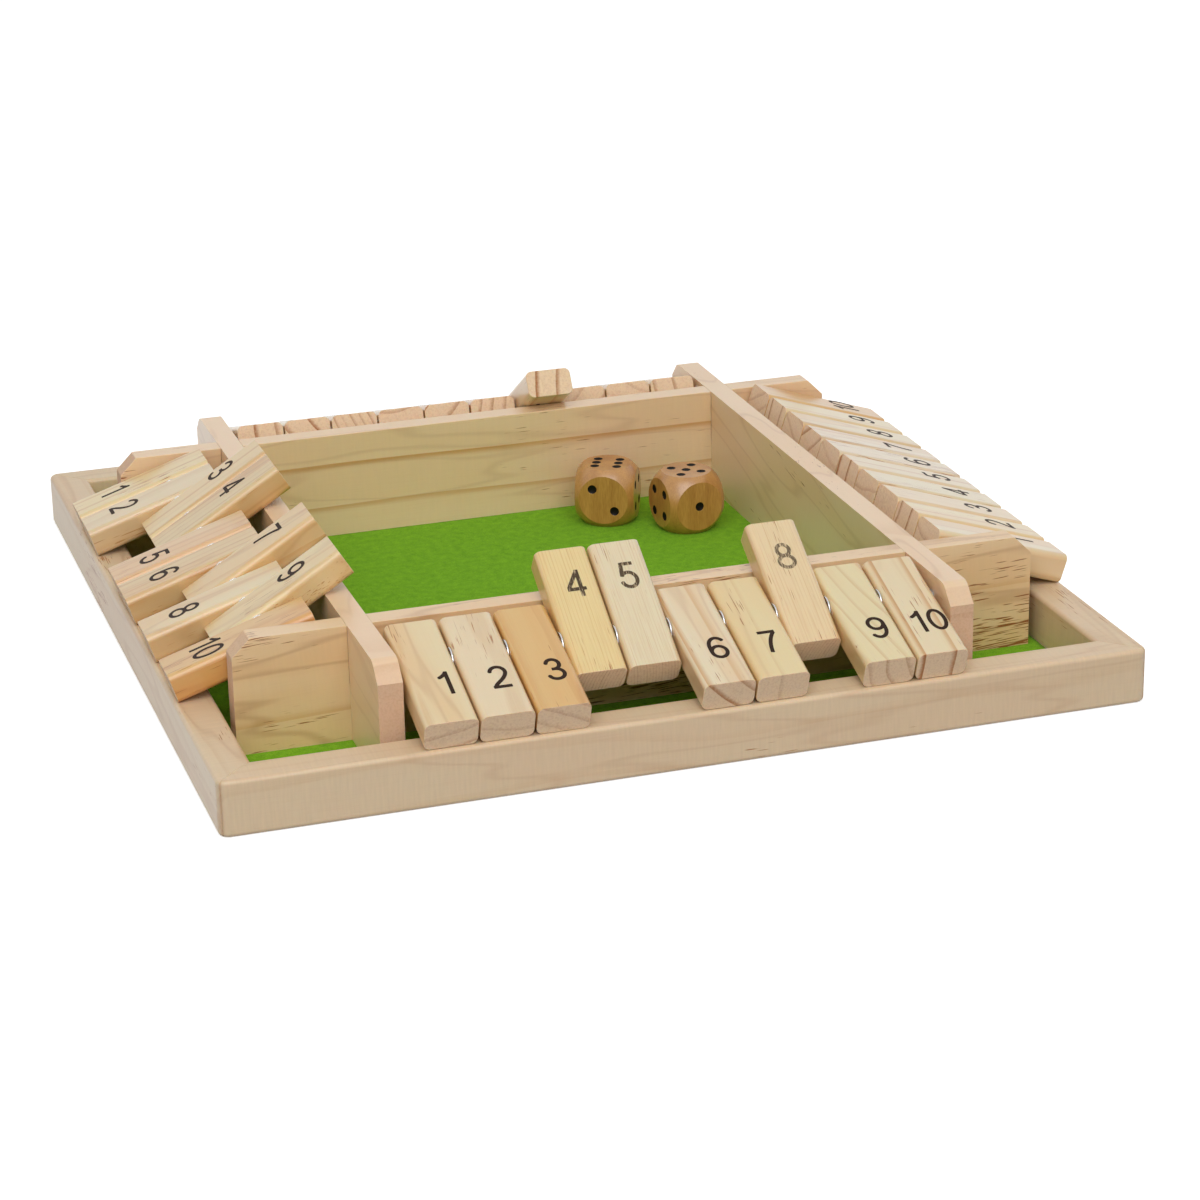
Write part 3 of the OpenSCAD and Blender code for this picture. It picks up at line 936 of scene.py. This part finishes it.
class LayFelt(bpy.types.Operator):
    """Lay the sheet of green felt, pressed flat under the walls and softly uneven elsewhere"""

    bl_idname = "shut_box.lay_felt"
    bl_label = "Lay the felt"

    def execute(self, context):
        settings = context.scene.shut_box_felt
        low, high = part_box("green_felt")
        size = high.x - low.x
        count = round(size / settings.cell) + 1
        walls = [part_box("partition_" + side) for side in SIDES]
        held_mm, lump_mm = 2.5, 3.5  # the strip beside a wall that is held down, and a soft lump

        def rise(x, y):
            """Height of the nap: none where a wall or a rail holds the felt down."""
            clear = min(x - low.x, high.x - x, y - low.y, high.y - y)
            for wall_low, wall_high in walls:
                out = max(wall_low.x - x, x - wall_high.x, wall_low.y - y, y - wall_high.y)
                clear = min(clear, max(out, 0))
            free = min(clear / (held_mm * MM), 1)
            rough = noise.fractal(Vector((x, y, 0)) / (lump_mm * MM), 1.0, 2.0, 3)
            return settings.nap * free * max(0.15, 0.6 + 0.3 * rough)

        bm = bmesh.new()
        rows = []
        for i in range(count):
            x = low.x + size * i / (count - 1)
            rows.append([])
            for j in range(count):
                y = low.y + size * j / (count - 1)
                rows[-1].append(bm.verts.new((x, y, high.z + rise(x, y))))
        for here, after in zip(rows[:-1], rows[1:]):
            for j in range(count - 1):
                bm.faces.new((here[j], after[j], after[j + 1], here[j + 1]))
        rim = [row[0] for row in rows] + rows[-1][1:]
        rim += [row[-1] for row in rows[-2::-1]] + rows[0][-2:0:-1]
        under = [bm.verts.new((v.co.x, v.co.y, low.z)) for v in rim]
        for k in range(len(rim)):
            after = (k + 1) % len(rim)
            bm.faces.new((rim[after], rim[k], under[k], under[after]))
        bm.faces.new(under[::-1])
        for face in bm.faces:
            face.smooth = len(face.verts) == 4
        mesh = bpy.data.meshes.new("felt sheet")
        bm.to_mesh(mesh)
        bm.free()
        felt = new_piece("felt_sheet", mesh, "board")
        dress(felt, pressed_felt("wool felt, pressed", settings))
        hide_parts("green_felt")
        return {"FINISHED"}


class FinishPartitions(bpy.types.Operator):
    """Give the four partition walls their pine and softened edges"""

    bl_idname = "shut_box.finish_partitions"
    bl_label = "Finish the partition walls"

    def execute(self, context):
        wood = context.scene.shut_box_walls
        material = pine("wall pine, planed and sanded", wood)
        for side in SIDES:
            wall = NODES["partition_" + side]
            give_board(wall, *box_place(wall.name), *WALL_BOARDS[side])
            soften(wall, wood.softening)
            dress(wall, material)
        return {"FINISHED"}


class FinishRods(bpy.types.Operator):
    """Give the rods their drawn steel and the washers their zinc plate"""

    bl_idname = "shut_box.finish_rods"
    bl_label = "Finish the rods and washers"

    def execute(self, context):
        metal = context.scene.shut_box_metal
        steel = drawn_steel("steel, bright drawn", metal)
        zinc = zinc_plate("steel washer, bright zinc plated", metal)
        for side in SIDES:
            rod = NODES["rod_" + side]
            give_board(rod, *box_place(rod.name), "cream")
            soften(rod, metal.softening)
            dress(rod, steel)
            washers = NODES["washers_" + side]
            soften(washers, metal.softening)
            dress(washers, zinc)
        return {"FINISHED"}


class FinishTiles(bpy.types.Operator):
    """Cut the forty tiles from their boards and soften their edges"""

    bl_idname = "shut_box.finish_tiles"
    bl_label = "Finish the tiles"

    def execute(self, context):
        wood = context.scene.shut_box_tiles
        material = pine("tile pine, planed and lacquered", wood)
        for side in SIDES:
            for number, kind in enumerate(TILE_BOARDS[side].split(", "), 1):
                tile = NODES[f"tile_{side}_{number}"]
                pivot = Vector(FLIPS[tile.name]["pos_m"])
                give_board(tile, tile_axes(tile.name), pivot, kind)
                soften(tile, wood.softening)
                dress(tile, material)
        return {"FINISHED"}


# How far a number is printed from its place, to its own right and up, in mm.
MISPRINTS_MM = {
    "front": [
        (3, 2), (2, 1.5), (2, 1.5), (1, 1.5), (1, 2), (1.5, 1), (1, 0.5), (0.5, 1.5), (1.5, 0), (1.5, 0),
    ],
    "left": [
        (-1.5, -0.5), (-1.5, -0.5), (-2.5, 0), (-2.5, 0), (0.5, -0.5),
        (0, -0.5), (-2, 0.5), (0, -1), (-1, 0), (0, -1),
    ],
    "right": [(1, -2)] * 10,
    "back": [(1, 0.5)] * 10,
}
# How worn a tile's numbers are, from 0 to 1. Tiles that aren't listed have the least wear.
WEAR = {"tile_front_4": 0.8, "tile_front_5": 0.85, "tile_front_8": 1.0}
LEAST_WEAR = 0.1


class PrintNumbers(bpy.types.Operator):
    """Print each tile's number on both of its faces, upright for the player on its side"""

    bl_idname = "shut_box.print_numbers"
    bl_label = "Print the numbers"

    def execute(self, context):
        settings = context.scene.shut_box_numbers
        material = printed_ink("printing ink, black", settings)
        row = len(FLIPS) // len(SIDES)
        shapes = {n: number_mesh(n, settings) for n in range(1, row + 1)}
        for side in SIDES:
            for number in range(1, row + 1):
                tile = f"tile_{side}_{number}"
                axes = tile_axes(tile)
                right, short_way, face = axes
                pivot = Vector(FLIPS[tile]["pos_m"])
                half = max((v.co - pivot).dot(face) for v in NODES[tile].data.vertices)
                aside, above = (shift * MM for shift in MISPRINTS_MM[side][number - 1])
                bm = bmesh.new()
                for up, out in ((short_way, face), (-short_way, -face)):
                    turned = Matrix((right, up, out)).transposed().to_4x4()
                    middle = pivot - short_way * settings.from_rod + right * aside
                    middle = middle + up * above + out * half
                    one_side = bpy.data.meshes.new("one side")
                    shapes[number].to_mesh(one_side)
                    one_side.transform(Matrix.Translation(middle) @ turned)
                    bm.from_mesh(one_side)
                    bpy.data.meshes.remove(one_side)
                mesh = bpy.data.meshes.new("number")
                bm.to_mesh(mesh)
                bm.free()
                piece = new_piece(f"number_{side}_{number}", mesh, tile)
                give_board(piece, axes, pivot, "cream")
                piece["wear"] = WEAR.get(tile, LEAST_WEAR)
                dress(piece, material)
        for bm in shapes.values():
            bm.free()
        return {"FINISHED"}


class FinishDice(bpy.types.Operator):
    """Give the dice their tumbled beech and painted pips"""

    bl_idname = "shut_box.finish_dice"
    bl_label = "Finish the dice"

    def execute(self, context):
        material = tumbled_beech("beech, tumbled and waxed", context.scene.shut_box_dice)
        for side in DICE:
            die = NODES["die_" + side]
            _, middle = box_place(die.name)
            give_board(die, die_axes(die.name), middle, "fine pale", pith_mm=(0, 0, 0))
            dress(die, material)
        return {"FINISHED"}


class SetStage(bpy.types.Operator):
    """Set up the white floor, the soft light and the camera"""

    bl_idname = "shut_box.set_stage"
    bl_label = "Set the stage"

    def execute(self, context):
        scene = context.scene
        stage = scene.shut_box_stage
        mesh = bpy.data.meshes.new("floor")
        bm = bmesh.new()
        bmesh.ops.create_circle(bm, cap_ends=True, segments=96, radius=FLOOR_RADIUS)
        bm.to_mesh(mesh)
        bm.free()
        floor = bpy.data.objects.new("floor", mesh)
        floor.location.z = FLOOR_Z - FLOOR_GAP_MM * MM
        scene.collection.objects.link(floor)
        dress(floor, white_floor("paper sweep, matt white", stage))

        lamp = bpy.data.lights.new("softbox", "AREA")
        lamp.shape = "RECTANGLE"
        lamp.size, lamp.size_y = stage.softbox_size
        lamp.energy = stage.softbox
        softbox = bpy.data.objects.new("softbox", lamp)
        softbox.location = stage.softbox_place
        softbox.rotation_euler = (-softbox.location).to_track_quat("-Z", "Y").to_euler()
        scene.collection.objects.link(softbox)

        scene.world = scene.world or bpy.data.worlds.new("white studio")
        scene.world.use_nodes = True
        tree = scene.world.node_tree
        # The sky shows white, whatever light it gives.
        sky = {"Value": seen_or_mirrored(tree), "To Min": stage.sky, "To Max": 1.0}
        strength = add(tree, MAP_RANGE, sky)
        add(tree, tree.nodes["Background"], {"Color": (1, 1, 1), "Strength": strength})

        camera = bpy.data.objects.new("camera", bpy.data.cameras.new("camera"))
        camera.data.lens = stage.lens
        camera.data.sensor_width = 36
        turn, rise = stage.azimuth, stage.elevation
        level = Vector((math.cos(turn), math.sin(turn), 0))
        back = Vector((math.sin(turn) * math.cos(rise), -math.cos(turn) * math.cos(rise), math.sin(rise)))
        upright = back.cross(level)
        right = level * math.cos(stage.roll) + upright * math.sin(stage.roll)
        turned = Matrix((right, back.cross(right), back)).transposed().to_4x4()
        camera.matrix_world = Matrix.Translation(stage.place) @ turned
        scene.collection.objects.link(camera)
        scene.camera = camera
        scene.view_settings.view_transform = "Standard"
        return {"FINISHED"}


OPERATORS = (
    FinishRails, FinishBase, LayFelt, FinishPartitions, FinishRods, FinishTiles, PrintNumbers,
    FinishDice, SetStage,
)


class ShutBoxPanel(bpy.types.Panel):
    """The game's finishing steps and their settings"""

    bl_idname = "VIEW3D_PT_shut_box"
    bl_label = "Shut the Box"
    bl_space_type = "VIEW_3D"
    bl_region_type = "UI"
    bl_category = "Shut the Box"

    def draw(self, context):
        for operator in OPERATORS:
            self.layout.operator(operator.bl_idname)
        for name, group in SETTINGS.items():
            box = self.layout.box()
            for key in group.__annotations__:
                box.prop(getattr(context.scene, name), key)


def register():
    for cls in (*SETTINGS.values(), *OPERATORS, ShutBoxPanel):
        bpy.utils.register_class(cls)
    for name, group in SETTINGS.items():
        setattr(bpy.types.Scene, name, PointerProperty(type=group))


def unregister():
    for name in SETTINGS:
        delattr(bpy.types.Scene, name)
    for cls in (*SETTINGS.values(), *OPERATORS, ShutBoxPanel):
        bpy.utils.unregister_class(cls)


def main():
    register()
    for operator in OPERATORS:
        group, name = operator.bl_idname.split(".")
        getattr(getattr(bpy.ops, group), name)()


if __name__ == "__main__":
    main()
